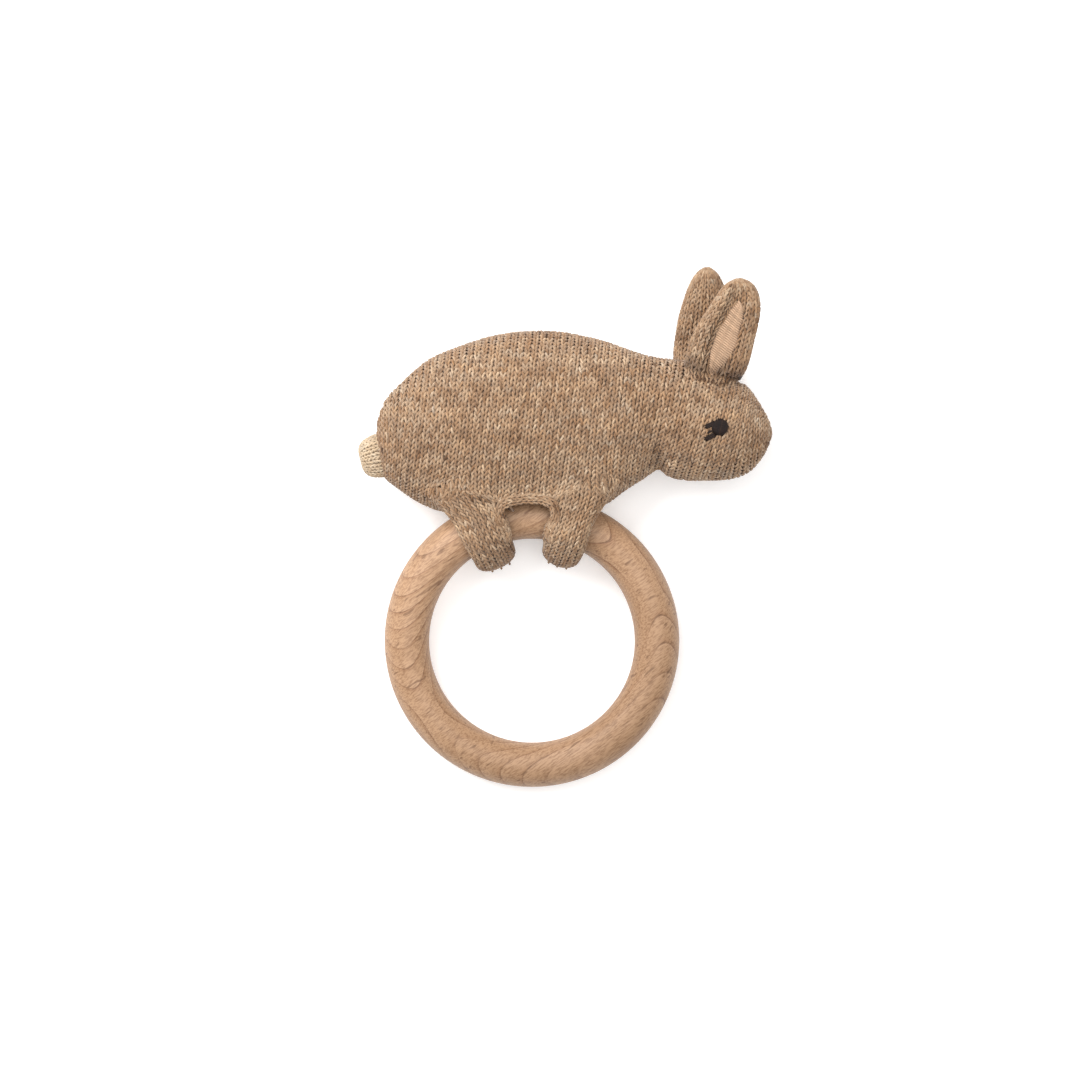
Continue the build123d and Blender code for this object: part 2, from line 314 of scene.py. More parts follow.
def linear(colour):
    c = np.asarray(colour, float) / 255
    return np.where(c <= 0.04045, c / 12.92, ((c + 0.055) / 1.055) ** 2.4)


def melange(rows, rings, seed, tones, spread=1.0):
    # tone along each course = short flecks + long streaks + the course's own shade
    rng = np.random.default_rng(seed)

    def noise(width):
        values = softened(rng.normal(size=(rings + 8, rows)), width)[:rings].T
        return values / max(values.std(), 1e-6)

    tone = 0.565 + spread * (0.095 * noise(0.8) + 0.045 * noise(5.0))
    patch = softened(rng.normal(size=(rows, rings)), 1.2)
    patch = softened(patch.T, 34).T
    tone += spread * 0.085 * patch / patch.std()
    tone += spread * 0.03 * softened(rng.normal(size=(rows, 1)), 1.0)
    shade = linear(readCurve(tone, tones[:, 0], tones[:, 1:]))
    hue = (noise(3.0) + 0.5 * noise(14.0))[..., None] * spread
    shade = shade * [1.005, 0.995, 0.965]
    return shade * np.clip(1 + hue * np.array([0.025, 0.0, -0.035]), 0.5, 1.5)


def addObject(name, data):
    made = bpy.data.objects.new(name, data)
    bpy.context.scene.collection.objects.link(made)
    return made


def makeMesh(name, verts, quads, caps, colour):
    # caps are many-sided faces, one row each
    used, flat = np.unique(np.concatenate([quads.ravel(), caps.ravel()]), return_inverse=True)
    mesh = bpy.data.meshes.new(name)
    mesh.vertices.add(len(used))
    place = toWorld(verts[used])
    place[:, 2] = np.maximum(place[:, 2], 0.00002)  # what meets the floor is pressed flat on it
    mesh.vertices.foreach_set("co", place.astype(np.float32).ravel())
    mesh.loops.add(len(flat))
    mesh.loops.foreach_set("vertex_index", flat.astype(np.int32))
    sizes = np.r_[np.full(len(quads), quads.shape[1]), np.full(len(caps), caps.shape[1])]
    mesh.polygons.add(len(sizes))
    mesh.polygons.foreach_set("loop_start", np.r_[0, np.cumsum(sizes)[:-1]].astype(np.int32))
    mesh.polygons.foreach_set("use_smooth", np.ones(len(sizes), bool))
    mesh.update(calc_edges=True)
    if colour is not None:
        shade = mesh.color_attributes.new("melange", "FLOAT_COLOR", "POINT")
        rgba = np.c_[colour[used], np.ones(len(used))]
        shade.data.foreach_set("color", rgba.astype(np.float32).ravel())
    return addObject(name, mesh)


def clearOfBar(p, gap=0.12):
    # points nearer to the bar's middle than its radius + gap are moved straight out
    away = p - ringMiddle
    rho = np.linalg.norm(away[..., :2], axis=-1)
    d = rho - ringRadius
    b = np.sqrt(d**2 + p[..., 2] ** 2)
    grow = np.maximum(1, (barRadius + gap) / np.maximum(b, 1e-6))
    flat = away[..., :2] * ((ringRadius + d * grow) / np.maximum(rho, 1e-6))[..., None]
    return np.concatenate([flat, (p[..., 2] * grow)[..., None]], -1) + ringMiddle


def tubes(name, path, normal, wide, deep, colour, live=None, barGap=None, ply=9.0):
    # an oval, wide across the cloth and deep through it, carried along each row of path
    rows, rings = path.shape[:2]
    sides = 5
    if live is None:
        live = np.ones((rows, rings - 1), bool)
    tangent = unit(np.gradient(path, axis=1))
    side = unit(np.cross(tangent, normal))
    up = np.cross(side, tangent)
    turn = 2 * math.pi * (np.arange(sides) + 0.5) / sides
    wide = np.broadcast_to(wide, (rows, rings))[..., None, None]
    deep = np.broadcast_to(deep, (rows, rings))[..., None, None]
    verts = (
        path[:, :, None]
        + side[:, :, None] * np.cos(turn)[:, None] * wide
        + up[:, :, None] * np.sin(turn)[:, None] * deep
    )
    if barGap is not None:
        verts = clearOfBar(verts, barGap)
    index = np.arange(rows * rings * sides).reshape(rows, rings, sides)
    a, b = index[:, :-1], index[:, 1:]
    quads = np.stack([a, b, np.roll(b, -1, 2), np.roll(a, -1, 2)], -1)[live].reshape(-1, 4)
    starts = live & ~np.pad(live, ((0, 0), (1, 0)))[:, :-1]
    ends = live & ~np.pad(live, ((0, 0), (0, 1)))[:, 1:]
    caps = np.concatenate([a[starts], b[ends][:, ::-1]])
    # two plies: light and dark stripes wind round the thread, once in every `ply` rings
    wind = np.sin(2 * (turn[None] + 2 * math.pi * np.arange(rings)[:, None] / ply))
    colour = (colour[:, :, None] * (1 + 0.31 * wind)[None, :, :, None]).reshape(-1, 3)
    return makeMesh(name, verts.reshape(-1, 3), quads, caps, colour)


def readGrid(grid, s, t):
    # bilinear reading of a grid at fractional places
    s = np.clip(s, 0, grid.shape[0] - 1.001)
    t = np.clip(t, 0, grid.shape[1] - 1.001)
    i, j = s.astype(int), t.astype(int)
    fs, ft = (s - i)[..., None], (t - j)[..., None]
    low = grid[i, j] * (1 - ft) + grid[i, j + 1] * ft
    high = grid[i + 1, j] * (1 - ft) + grid[i + 1, j + 1] * ft
    return low * (1 - fs) + high * fs


def gridNormals(grid, towards):
    # cross product of the grid's two directions, turned to agree with a rough outward direction
    n = np.cross(np.gradient(grid, axis=0), np.gradient(grid, axis=1))
    weak = np.linalg.norm(n, axis=-1) < 1e-4
    n = unit(np.where(weak[..., None], towards, n))
    return n * np.where((n * towards).sum(-1, keepdims=True) < 0, -1, 1)


def stockinette(name, grid, normals, seed, live=None, tones=melangeTones, yarn=1.0, barGap=0.12,
                mirror=False, spread=1.0):
    # Yarn of one stitch, u from 0 to 1: across = u + swing x sin(4 pi u), along = -reach x
    # cos(2 pi u), height = -relief x cos(4 pi u). The stitch's legs stand in front as a V.
    # grid has `fine` steps to a stitch; live[wale, course] says which stitches there are.
    f, n = knit["fine"], knit["points"]
    if live is None:
        live = np.ones([(size - 1) // f for size in grid.shape[:2]], bool)
    wales, courses = live.shape
    rng = np.random.default_rng(seed)
    u = np.arange(wales * n + 1) / n
    course = np.arange(courses)[:, None]
    wobble = softened(rng.normal(size=(wales * n + 1, courses, 2)), 1.5).transpose(1, 0, 2) * 0.085
    sway = softened(rng.normal(size=(wales * n + 1, courses)), 5).T * 0.16
    s = u + knit["swing"] * np.sin(4 * math.pi * u) + wobble[..., 0]
    t = course + 0.5 - knit["reach"] * np.cos(2 * math.pi * u) + wobble[..., 1] + sway
    height = -knit["relief"] * np.cos(4 * math.pi * u) * yarn
    path = readGrid(grid, s * f, t * f)
    normal = unit(readGrid(normals, s * f, t * f))
    path = path + normal * height[..., None]
    if mirror:
        path, normal = path * [1, 1, -1], normal * [1, 1, -1]
    thin = 1 + 0.1 * softened(rng.normal(size=(wales * n + 1, courses)), 2).T
    liveRings = np.repeat(live.T, n, axis=1)
    colour = melange(courses, wales * n + 1, seed + 1, tones, spread)
    return tubes(name, path, normal, knit["wide"] * yarn * thin, knit["deep"] * yarn * thin,
                 colour, liveRings, barGap, 7.5)


waleAt = np.linspace(sectionTable[0, 0], sectionTable[-1, 0], 4000)
waleRun = np.r_[0, np.cumsum(np.hypot(np.diff(waleAt), np.diff(sectionAt(waleAt)[2])))]
waleRun = (waleRun - np.interp(0, waleAt, waleRun)) / knit["wale"]
midCourse = 20.4  # y of course 0
for leg in legs.values():
    # the wale that meets the leg's middle line at the hip
    hipX = hipHeight * -leg["along"][1] / leg["along"][0] + leg["x"]
    leg["wale"] = np.interp(hipX, waleAt, waleRun)


def waleLean(x, y):
    # wales lean forwards as they rise, a little on the body and more on the head
    share = 0.12 + 0.15 * smoothStep((x - 18) / 20)
    share = share * smoothStep((x + 37) / 9) * smoothStep((57 - x) / 11)
    return x + share * (y - midCourse)


def trunkPath(s, samples=180):
    # a wale down the flank: half an ellipse from the back's edge to the belly's
    start = np.interp(s, waleRun, waleAt)[:, None]
    phi = np.linspace(math.pi / 2, -math.pi / 2, samples)
    x = start + 0 * phi
    for _ in range(4):
        middle, half, thick = sectionAt(x)
        x = waleLean(start, middle + half * np.sin(phi))
    return ovalRing(x, middle, half, thick, phi)


def onLeg(leg, out, along, height):
    # out from the bar's middle line, along the bar, and height off the ring's plane
    return (ringMiddle + leg["out"] * (ringRadius + out)[..., None]
            + leg["along"] * along[..., None] + np.array([0, 0, 1]) * height[..., None])


def legPath(leg, s, samples=90):
    # down the flank to the hip, then along the leg, with a soft change from one to the other
    table = np.linspace(0, 2.4, 400)
    stretch = np.hypot(leg["halfWidth"] * np.cos(table), leg["halfThick"] * np.sin(table))
    arc = np.r_[0, np.cumsum(stretch[1:] * np.diff(table))]
    offset = s - leg["wale"]
    alpha = (np.interp(np.abs(offset) * knit["legWale"], arc, table) * np.sign(offset))[:, None]
    q, e = leg["halfWidth"] * np.sin(alpha), leg["halfThick"] * np.cos(alpha)
    x = waleLean(np.interp(s, waleRun, waleAt)[:, None], hipHeight)
    middle, half, thick = sectionAt(x)
    hip = np.arcsin(np.clip((hipHeight - middle) / half, -1, 1))
    phi = math.pi / 2 + (hip - math.pi / 2) * np.linspace(0, 1, samples, endpoint=False)
    flank = ovalRing(x, middle, half, thick, phi)
    dHip = (hipHeight + ringRadius - leg["along"][1] * q) / leg["out"][1] - ringRadius
    d = dHip * (1 - np.linspace(0, 1, samples))
    over = onLeg(leg, d, q * hipGrowth(d), leg["path"] + e)
    onFlank = over.copy()
    onFlank[..., 0] = x
    onFlank[..., 2] = np.maximum(flankHeight(x, over[..., 1]), over[..., 2])
    share = smoothStep((dHip - d) / (dHip - 3.0))[..., None]
    over = onFlank * (1 - share) + over * share
    gamma = np.linspace(0, math.pi / 2, samples)[1:]
    ring = leg["path"] + e
    around = onLeg(leg, -ring * np.sin(gamma), q, ring * np.cos(gamma))
    path = np.concatenate([flank, over, around], 1)
    path = onCloth(path, 4)
    path = np.moveaxis(softened(np.moveaxis(path, 1, 0), 2.5), 0, 1)
    return onCloth(path, 1)


def evenCourses(path, first, count):
    # each wale read every quarter course by its length from the middle course
    out = np.empty((len(path), count * knit["fine"] + 1, 3))
    inside = np.empty(out.shape[:2], bool)
    at = first + np.arange(out.shape[1]) / knit["fine"]
    for i, row in enumerate(path):
        run = runLength(row) / knit["course"]
        run -= np.interp(-midCourse, -row[:, 1], run)
        out[i] = readCurve(at, run, row)
        inside[i] = (at > run[0]) & (at < run[-1])
    return out, inside


def barDistance(p):
    d = np.linalg.norm((p - ringMiddle)[..., :2], axis=-1) - ringRadius
    return np.hypot(d, p[..., 2])


def stitchCentres(grid):
    half = knit["fine"] // 2
    return grid[half :: knit["fine"], half :: knit["fine"]]


fine = knit["fine"]
firstWale = math.ceil(waleRun[0]) - 1
waleCount = math.floor(waleRun[-1]) + 1 - firstWale
wales = firstWale + np.arange(waleCount * fine + 1) / fine
firstCourse, courseCount = -30, 62
trunkGrid, trunkInside = evenCourses(trunkPath(wales), firstCourse, courseCount)
low = trunkGrid[..., 1] < 15
trunkGrid[low] = onCloth(trunkGrid[low], 3)
trunkNormals = gridNormals(trunkGrid, slope(trunkGrid, clothField)[1])
centres = stitchCentres(trunkGrid)
edges = {
    # where stitches stop: off the seam, off the bar, share of the arch's ellipse, inside a leg,
    # and for a leg's own stitches, off the flank and off the leg
    "seam": 0.55, "bar": 0.5, "arch": 1.05, "leg": 1.2, "flank": 0.3, "legReach": 0.8,
    "tuck": (7.9, 6.1, 6.8),  # half width, y and z of the place under the arch left bare
}
trunkLive = stitchCentres(trunkInside) & (centres[..., 2] > edges["seam"])
trunkLive &= barDistance(centres) > barRadius + edges["bar"]
underArch = np.hypot((centres[..., 0] - archRim["middle"][0]) / archRim["half"][0],
                     (centres[..., 1] - archRim["middle"][1]) / archRim["half"][1])
trunkLive &= (underArch > edges["arch"]) | (centres[..., 1] < archRim["middle"][1])
tucked = np.abs(centres[..., 0] - archRim["middle"][0]) < edges["tuck"][0]
tucked &= (centres[..., 1] < edges["tuck"][1]) & (centres[..., 2] < edges["tuck"][2])
trunkLive &= ~tucked
for leg in legs.values():
    trunkLive &= legField(centres, leg) > -edges["leg"]


def legLive(leg, grid, inside):
    p = stitchCentres(grid)
    reach = (trunkField(p) > edges["flank"]) & (legField(p, leg) < edges["legReach"])
    return stitchCentres(inside) & (p[..., 1] < hipHeight + 1) & reach


legSets = {}
for name, leg in legs.items():
    first = math.floor(leg["wale"]) - 6
    span = first + np.arange(13 * fine + 1) / fine
    path = legPath(leg, span)
    grid, inside = evenCourses(path, 8, 34)
    normals = gridNormals(grid, slope(grid, clothField)[1])
    legSets[name] = (grid, normals, legLive(leg, grid, inside))

for grid, normals in [(trunkGrid, trunkNormals)] + [g[:2] for g in legSets.values()]:
    grid += normals * (dents(grid) + rumple(grid, 5))[..., None]

knitPieces = {}
for side, mirror in (("near", False), ("far", True)):
    knitPieces[f"{side}_side_panel"] = stockinette(
        f"{side}FlankKnit", trunkGrid, trunkNormals, 11 + 40 * mirror, trunkLive, mirror=mirror)
    for name, (grid, normals, live) in legSets.items():
        knitPieces[f"{side}_{name}_leg"] = stockinette(
            f"{side}{name.title()}LegKnit", grid, normals, len(name) + 70 * mirror + 3, live,
            yarn=0.95, mirror=mirror)
print("flanks and legs knitted:", {n: len(o.data.polygons) for n, o in knitPieces.items()})


# strips of knitting laid along a line: the linked seam and the turned arch

def strip(name, line, normals, count, pitch, seed, lift, yarn, hug=True, mirror=False):
    # place = line + across x (wale - middle), laid on the cloth and lifted off it
    run = runLength(line) / knit["course"]
    rows = int(run[-1])
    at = np.linspace(0, run[-1], rows * fine + 1)
    line, normals = readCurve(at, run, line), unit(readCurve(at, run, normals))
    across = unit(np.cross(normals, np.gradient(line, axis=0)))
    place = (np.arange(count * fine + 1) / fine - count / 2)[:, None, None] * pitch
    grid = line + across * place
    if hug:
        grid = onCloth(grid, 3)
    n = gridNormals(grid, np.broadcast_to(normals, grid.shape))
    grid = grid + n * (lift - 0.12 * place**2)
    return stockinette(name, grid, n, seed, yarn=yarn, mirror=mirror)


# seam: round the outline from behind the hind leg, over the back and head, to the front leg
seamEnds = (-17.5, 15.5)
outline = np.concatenate([
    sectionTable[sectionTable[:, 0] < seamEnds[0]][::-1, :2], sectionTable[:, [0, 2]],
    sectionTable[sectionTable[:, 0] > seamEnds[1]][::-1, :2],
])
outline = evenCurve(np.c_[outline, np.zeros(len(outline))], 0.2, 0.5)
outlineTangent = unit(np.gradient(outline, axis=0))
outlineNormals = np.cross(np.array([0, 0, 1.0]), outlineTangent)
outlineNormals[:] *= -1 if outlineNormals[len(outline) // 2, 1] < 0 else 1
outlineDent = (dents(outline) * 0.6)[:, None] * outlineNormals
knitPieces["outline_seam"] = strip("outlineSeam", outline + outlineDent, outlineNormals, 2, 1.1, 21,
                                   -0.1, 0.82, hug=False)

arch = {"line": [(-6.9, -5.0), (-7.9, -2.6), (-8.4, -0.3), (-8.2, 1.9), (-7.2, 3.6), (-5.0, 4.9),
                 (-1.4, 5.6), (2.2, 5.3), (4.6, 4.0), (6.1, 2.1), (6.8, 0.0), (6.6, -2.2),
                 (6.0, -4.6)],
        "wales": 2, "pitch": 1.25}
archLine = evenCurve([(x, y, 7.0) for x, y in arch["line"]], 0.2, 0.6)
archLine = onCloth(archLine, 6)
archNormals = unit(slope(archLine, clothField)[1])
for side, mirror in (("near", False), ("far", True)):
    knitPieces[f"{side}_arch"] = strip(f"{side}ArchBand", archLine, archNormals, arch["wales"],
                                       arch["pitch"], 31 + mirror, 0.30, 0.85, mirror=mirror)

# belly: cloth turned in round the bar, from one arch to the other
belly = {"from": -7.8, "to": 6.0, "wales": 9, "courses": 11, "turn": 57.0, "radius": 6.1,
         "flare": 2.3, "seed": 91}
along = np.linspace(belly["from"], belly["to"], belly["wales"] * fine + 1)[:, None] / ringRadius
turn = np.radians(np.linspace(belly["turn"], -belly["turn"], belly["courses"] * fine + 1))[None]
# radius from the bar's middle grows with the square of the turn
radius = belly["radius"] + belly["flare"] * (turn / turn.max()) ** 2
along, turn, radius = np.broadcast_arrays(along, turn, radius)
axisPoint = ringRadius * np.stack([np.sin(along), np.cos(along), 0 * along], -1) + ringMiddle
offset = np.stack([np.cos(turn) * np.sin(along), np.cos(turn) * np.cos(along), np.sin(turn)], -1)
grid = axisPoint + offset * radius[..., None]
knitPieces["belly_strip"] = stockinette("bellyKnit", grid, gridNormals(grid, -offset),
                                        belly["seed"], yarn=0.9)

# the lining: a closed brown layer just under the yarn, whose brown is painted shade seen in the gaps between the
# stitches


def closedSkin(name, rings):
    # rings [along, around, 3] joined in a grid, with a point at each end
    along, around = rings.shape[:2]
    index = np.arange(along * around).reshape(along, around)
    a, b = index[:-1], index[1:]
    quads = np.stack([a, b, np.roll(b, -1, 1), np.roll(a, -1, 1)], -1).reshape(-1, 4)
    caps = np.stack([index[0], index[-1][::-1]])
    return makeMesh(name, rings.reshape(-1, 3), quads, caps, None)


shadeLining = {"depth": 0.30}
x = sectionTable[::8, 0][:, None] * 0.992
middle, half, thick = sectionAt(x)
phi = np.linspace(0, 2 * math.pi, 96, endpoint=False)
half, thick = (np.maximum(v - shadeLining["depth"], 0.02) for v in (half, thick))
skin = clearOfBar(ovalRing(x, middle, half, thick, phi), 0.3)
skinNormals = unit(slope(skin, trunkField)[1])
skin = skin + skinNormals * dents(skin)[..., None]
shadeLinings = [closedSkin("trunkShadeLining", skin)]


def fillingPart(name, start, end):
    # the trunk's sections less the cloth's depth, between two values of x, rounded at both ends
    x = start + (end - start) * (1 - np.cos(np.linspace(0, math.pi, 40))) / 2
    middle, half, thick = sectionAt(x)
    close = np.sqrt(np.clip(np.minimum(x - start, end - x) / 2.0, 0, 1))
    close = (0.35 + 0.65 * close)[:, None]
    turn = np.linspace(0, 2 * math.pi, 64, endpoint=False)
    half, thick = (np.maximum(v - 1.5, 0.15)[:, None] * close for v in (half, thick))
    part = ovalRing(x[:, None], middle[:, None], half, thick, turn)
    return closedSkin(name, clearOfBar(part, 1.0))


def legTube(leg, inset):
    # rings of the leg's oval less the inset, straight over the bar, then a quarter turn round it
    d = np.linspace(12, 0, 30)
    gamma = np.linspace(0, math.pi / 2 * 0.985, 40)[1:]
    a = np.linspace(0, 2 * math.pi, 40, endpoint=False)
    q = (leg["halfWidth"] - inset) * np.sin(a)
    e = (leg["halfThick"] - inset) * np.cos(a)
    ring = leg["path"] + e
    over = onLeg(leg, d[:, None], q, ring)
    around = onLeg(leg, -ring * np.sin(gamma)[:, None], q, ring * np.cos(gamma)[:, None])
    return np.concatenate([over, around])


fillings = {"body_stuffing": fillingPart("bodyFilling", -35.0, 28.6),
            "head_stuffing": fillingPart("headFilling", 30.6, 55.0)}
for name, leg in legs.items():
    for side, flip in (("near", 1), ("far", -1)):
        skin, core = (legTube(leg, inset)[:, ::flip] * [1, 1, flip]
                      for inset in (shadeLining["depth"] + 0.05, 1.0))
        title = f"{side}{name.title()}Leg"
        shadeLinings.append(closedSkin(f"{title}Lining", skin))
        fillings[f"{side}_{name}_leg_stuffing"] = closedSkin(f"{title}Filling", core)

# ears

earShapes = {
    "near": {
        "left": [(36.2, 34.9), (36.0, 36.8), (36.3, 39.1), (37.1, 42.2), (38.8, 45.5), (40.3, 48.0),
                 (42.4, 51.0), (44.3, 54.0), (45.8, 55.5), (47.9, 56.3)],
        "right": [(48.9, 32.6), (49.3, 33.8), (49.8, 35.4), (50.6, 38.1), (51.6, 42.4),
                  (52.5, 46.2), (53.0, 49.2), (52.8, 52.2), (51.8, 54.8), (50.1, 56.0),
                  (48.2, 56.4)],
        "thick": 1.45, "roll": 2.0, "rollAt": -0.66, "rollWide": 0.24, "rim": 0.9, "sag": 1.7,
        "seed": 51,
    },
    "far": {
        "left": [(34.3, 33.4), (33.9, 36.0), (34.1, 38.2), (34.5, 41.9), (35.2, 46.2), (36.3, 50.2),
                 (37.8, 54.5), (39.5, 57.3), (41.4, 58.3)],
        "right": [(46.6, 32.4), (47.2, 37.0), (47.3, 42.0), (46.9, 47.0), (46.1, 51.4),
                  (45.4, 53.8), (44.6, 55.8), (43.2, 57.7), (41.6, 58.4)],
        "thick": 1.45, "roll": 0.9, "rollAt": -0.55, "rollWide": 0.35, "rim": 0.7, "sag": 0.6,
        "seed": 61,
    },
}
innerEar = {
    "left": [(48.1, 51.3), (46.2, 49.4), (45.1, 47.4), (43.6, 45.1), (42.4, 42.5), (41.7, 40.0),
             (41.4, 37.4), (41.5, 35.3), (42.1, 33.9)],
    "right": [(48.3, 51.4), (49.2, 49.4), (49.1, 46.8), (48.5, 45.1), (48.0, 42.9), (47.2, 40.0),
              (46.2, 38.3), (44.6, 36.5), (42.3, 33.9)],
    "threads": 38, "slant": 0.05, "tone": (194, 161, 132), "farShift": (88.6, 0.9),
}


def earFrame(side):
    # hinge point, direction up the ear and direction away from the head, in the toy's axes
    joint = next(j for j in frame["joints"] if j["name"] == f"{side}_ear_bend")
    hinge = toToy(joint["pos_m"])
    axis = toyAxes @ np.array(joint["axis"])
    shape = earShapes[side]
    base = (np.array(shape["left"][0]) + shape["right"][0]) / 2
    tip = (np.array(shape["left"][-1]) + shape["right"][-1]) / 2
    up = np.r_[tip - base, 0]
    up = unit(up - axis * (up @ axis))
    return hinge, up, np.cross(axis, up)


def earPoint(side, psi, tau):
    # psi goes round the ear, tau from base to tip. x and y lie between the two edges:
    # middle + half width x cos(psi). z = the blade's plane + thickness x sin(psi), with a roll
    # along the left edge and a rim along the right one on the outward face.
    shape = earShapes[side]
    sign = 1 if side == "near" else -1
    hinge, _, away = earFrame(side)
    left, right = (evenCurve(shape[k], 0.1, 1.0) for k in ("left", "right"))
    share = [np.linspace(0, 1, len(c)) for c in (left, right)]
    l, r = (readCurve(tau, t, c) for t, c in zip(share, (left, right)))
    across = np.cos(psi)
    flat = (l + r) / 2 + (r - l) / 2 * across[..., None]
    sag = shape["sag"] * (1 - across**2) * smoothStep(1 - tau / 0.2)
    flat = flat - unit(r - l)[..., ::-1] * [-1, 1] * sag[..., None]
    plane = hinge[2] - ((flat - hinge[:2]) @ away[:2]) / away[2]
    width = np.linalg.norm(r - l, axis=-1) / 2
    body = shape["thick"] * np.minimum(1, width / 3) * np.sin(psi)
    fade = smoothStep((1 - tau) / 0.3)
    front = np.maximum(np.sin(psi), 0) ** 0.5
    shapeRoll = shape["roll"] * bell((across - shape["rollAt"]) / shape["rollWide"])
    shapeRim = shape["rim"] * bell((across - 0.80) / 0.17)
    bow = 1.3 * (across**2 - 0.4) * smoothStep(tau / 0.25) * fade
    z = plane + sign * (body + fade * (front * (shapeRoll + shapeRim) + bow - 0.25 * front))
    # near its base the ear comes down on the head
    foot = (abs(hinge[2]) - 2.4) * smoothStep(tau / 0.12)
    head = np.maximum(flankHeight(flat[..., 0], flat[..., 1], 0.999), foot)
    down = smoothStep(1 - tau / 0.20)
    onHead = sign * (head - 0.7 + 0.9 * np.maximum(np.sin(psi), 0) * (1.1 + 0.6 * shapeRoll))
    z = z * (1 - down) + onHead * down
    return np.concatenate([flat, z[..., None]], -1)


def earNormals(grid):
    # outward on the whole: the turn that points away from each ring's middle more often
    n = unit(np.cross(np.gradient(grid, axis=0), np.gradient(grid, axis=1)))
    middle = (grid.max(0) + grid.min(0)) / 2
    return n * np.sign((n * unit(grid - middle)).sum())


def onEar(side, flat):
    # height of the ear's outward face over plan points, as a bell-weighted mean of near samples
    psi, tau = np.meshgrid(np.linspace(0.05, math.pi - 0.05, 70), np.linspace(0.02, 0.99, 70))
    face = earPoint(side, psi, tau).reshape(-1, 3)
    out = np.empty(flat.shape[:-1])
    for i, row in enumerate(flat):
        gap = ((row[:, None] - face[None, :, :2]) ** 2).sum(-1)
        weight = np.exp(-(gap - gap.min(1, keepdims=True)) / 0.18)
        out[i] = (weight * face[:, 2]).sum(1) / weight.sum(1)
    return out


def roundGrid(wales, courses, end):
    # psi round a closed piece, tau along it up to its end
    psi = np.linspace(0, 2 * math.pi, wales * fine + 1)[:, None]
    return np.broadcast_arrays(psi, np.linspace(0.0, end, courses * fine + 1)[None])


ears = {}
for side in ("near", "far"):
    shape = earShapes[side]
    grid = earPoint(side, *roundGrid(20, 21, 0.995))
    normals = earNormals(grid)
    knitted = stockinette(f"{side}EarKnit", grid, normals, shape["seed"], yarn=0.88, barGap=None)
    # the ear's lining below carries the same painted shade for the gaps between its stitches
    inner = grid[::2, ::4] - normals[::2, ::4] * 0.42
    skin = np.moveaxis(inner[:-1], 0, 1)
    if side == "far":
        skin = skin[:, ::-1]
    ears[side] = {"knit": knitted, "shadeLining": closedSkin(f"{side}EarLining", skin)}

    # satin stitch: slanted threads across the hollow, each from edge to edge and back under
    sign = 1 if side == "near" else -1
    rims = [evenCurve(innerEar[k], 0.1, 0.4) for k in ("left", "right")]
    if side == "far":
        # the mirror image, moved onto the far ear
        rims = [[-1, 1] * e + innerEar["farShift"] for e in rims[::-1]]
    share = np.linspace(0.0, 1.0, innerEar["threads"])
    a, b = (readCurve(np.clip(share + lean, 0, 1), np.linspace(0, 1, len(e)), e)
            for e, lean in zip(rims, (-innerEar["slant"], innerEar["slant"])))
    w = np.linspace(-1, 1, 15)
    rng = np.random.default_rng(7)
    reach = 1 + 0.12 * rng.random((innerEar["threads"], 1))
    flat = (a + b)[:, None] / 2 + (b - a)[:, None] / 2 * (w * reach)[..., None]
    raised = 0.66 - 0.75 * np.abs(w) ** 5
    surface = np.concatenate([flat, (onEar(side, flat) + sign * raised)[..., None]], -1)
    n = np.broadcast_to(np.array([0, 0, sign * 1.0]), surface.shape)
    shade = linear(innerEar["tone"]) * (1 + 0.09 * rng.normal(size=(len(flat), 1, 1)))
    ears[side]["satin"] = tubes(f"{side}InnerEarThreads", surface, n, 0.29, 0.21,
                                np.broadcast_to(shade, surface.shape))


def earStitches(side, count=13):
    # short threads across the ear's base line, sunk where they meet the head
    sign = 1 if side == "near" else -1
    across = np.linspace(-0.86, 0.86, count)[:, None]
    w = np.linspace(-1, 1, 7)[None]
    base = earPoint(side, np.arccos(across + 0.03 * w), 0.012 + 0.022 * w + 0 * across)
    lift = 0.35 - 0.35 * np.abs(w)[0] ** 3
    base = base + np.array([0, 0, sign]) * lift[:, None]
    n = np.broadcast_to(np.array([0, 0, sign * 1.0]), base.shape)
    shade = np.broadcast_to(linear((92, 64, 44)), base.shape)
    return tubes(f"{side}EarStitches", base, n, 0.2, 0.2, shade)


for side in ("near", "far"):
    ears[side]["sewing"] = earStitches(side)
print("ears made")

# tail

tail = {"base": (-34.2, 14.9), "angle": 194.0, "length": 6.1, "half": 4.85, "thick": 3.6,
        "wales": 17, "courses": 8, "seed": 81}
away = np.array([math.cos(math.radians(tail["angle"])), math.sin(math.radians(tail["angle"])), 0])
over = np.array([-away[1], away[0], 0])


def tailPoint(psi, tau):
    # round a dome: reach = length x sin(tau), size = a flattened quarter circle
    reach = tail["length"] * np.sin(tau * math.pi / 2) ** 0.9
    size = np.maximum(np.cos(tau * math.pi / 2), 0) ** 0.45
    p = np.r_[tail["base"], 0] + away * reach[..., None]
    p = p + over * (tail["half"] * size * np.cos(psi))[..., None]
    return p + np.array([0, 0, 1]) * (tail["thick"] * size * np.sin(psi))[..., None]


grid = tailPoint(*roundGrid(tail["wales"], tail["courses"], 0.985))
normals = gridNormals(grid, grid - grid.mean(0).mean(0))
tailKnit = stockinette("tailKnit", grid, normals, tail["seed"], tones=creamTones, yarn=0.86,
                       barGap=None, spread=0.8)
# the tail's lining: a cream layer under the yarn, painted shade for the gaps between the stitches
skin = np.moveaxis((grid - normals * 0.4)[::2, ::2][:-1], 0, 1)
tailLining = closedSkin("tailLining", skin)

# eyes

eye = {"middle": (43.8, 22.05), "half": (1.75, 2.1), "tilt": 12.0, "threads": 17,
       "tone": (32, 19, 13),
       "lashes": [((42.9, 23.2), (40.1, 21.9), 3), ((42.9, 20.5), (40.1, 19.1), 3),
                  ((42.4, 21.5), (40.9, 20.7), 1)]}


